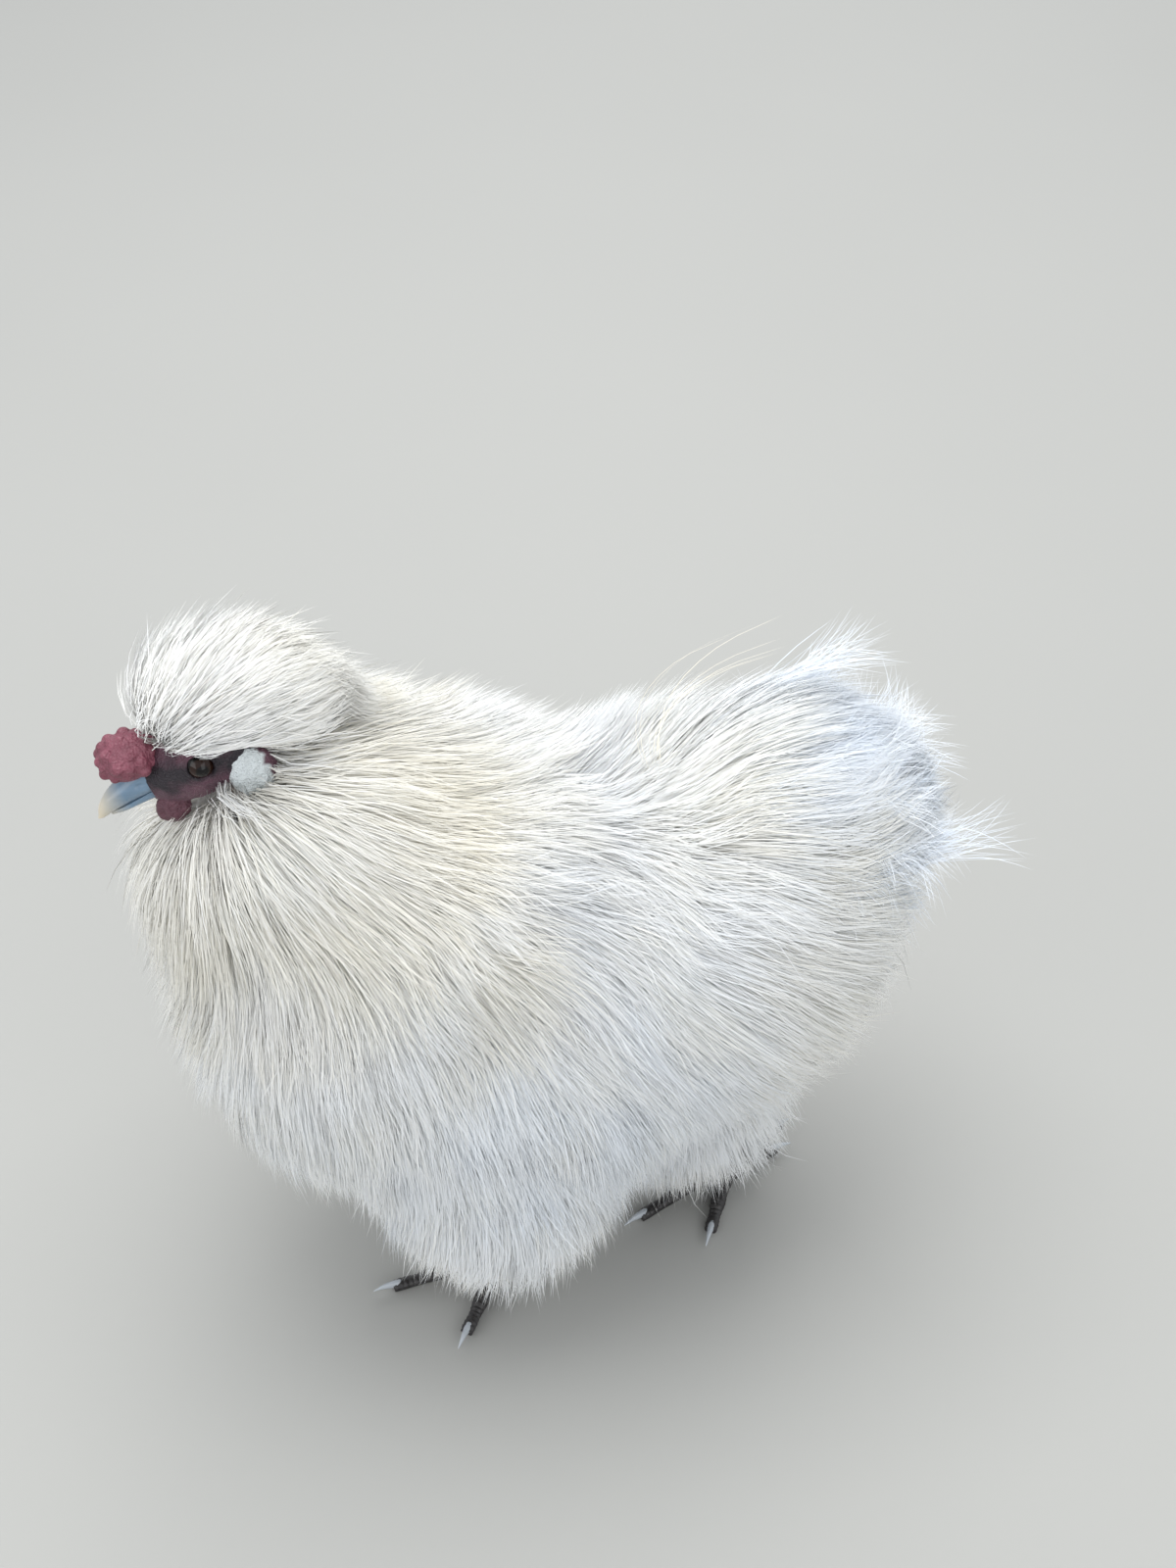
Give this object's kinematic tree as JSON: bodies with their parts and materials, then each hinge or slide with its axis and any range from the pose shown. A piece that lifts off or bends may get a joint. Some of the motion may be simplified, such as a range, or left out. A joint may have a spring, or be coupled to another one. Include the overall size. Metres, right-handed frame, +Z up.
{
  "type": "silkie chicken",
  "caption": "Life-size white silkie cock in mid-stride, with full crest, walnut comb, loose silky plumage and feathered legs.",
  "frame": {"origin": "middle of the bird's bounding box, on the floor that it stands on", "axes": "+X from tail to bill, +Y to the bird's left, +Z up"},
  "size_m": [0.3522, 0.1974, 0.3449],
  "materials": {
    "plumage": "soft, loose white down, faintly cream on hackle and saddle",
    "face_skin": "bare mulberry face skin",
    "comb_skin": "knobbly mulberry comb and wattles",
    "lobe_skin": "pale blue-white earlobe skin",
    "bill_horn": "slate-blue horn, paler at the tip",
    "eye": "wet black eye",
    "leg_scale": "dark slate scales",
    "claw_horn": "pale blue-grey horn"
  },
  "bodies": {
    "root": {"bill_upper": "bill_horn", "bill_lower": "bill_horn", "head": "face_skin", "comb": "comb_skin", "eye_left": "eye", "earlobe_left": "lobe_skin", "wattle_left": "comb_skin", "eye_right": "eye", "earlobe_right": "lobe_skin", "wattle_right": "comb_skin", "crest": "plumage", "neck": "plumage", "wing_left": "plumage", "wing_right": "plumage", "tail": "plumage", "thigh_left": "plumage", "thigh_right": "plumage", "torso": "plumage", "foot_left": "leg_scale", "claw_left_hallux": "claw_horn", "claw_left_inner": "claw_horn", "claw_left_middle": "claw_horn", "claw_left_outer": "claw_horn", "claw_left_extra": "claw_horn", "shank_left": "leg_scale", "foot_right": "leg_scale", "claw_right_hallux": "claw_horn", "claw_right_inner": "claw_horn", "claw_right_middle": "claw_horn", "claw_right_outer": "claw_horn", "claw_right_extra": "claw_horn", "shank_right": "leg_scale"}
  },
  "joints": []
}
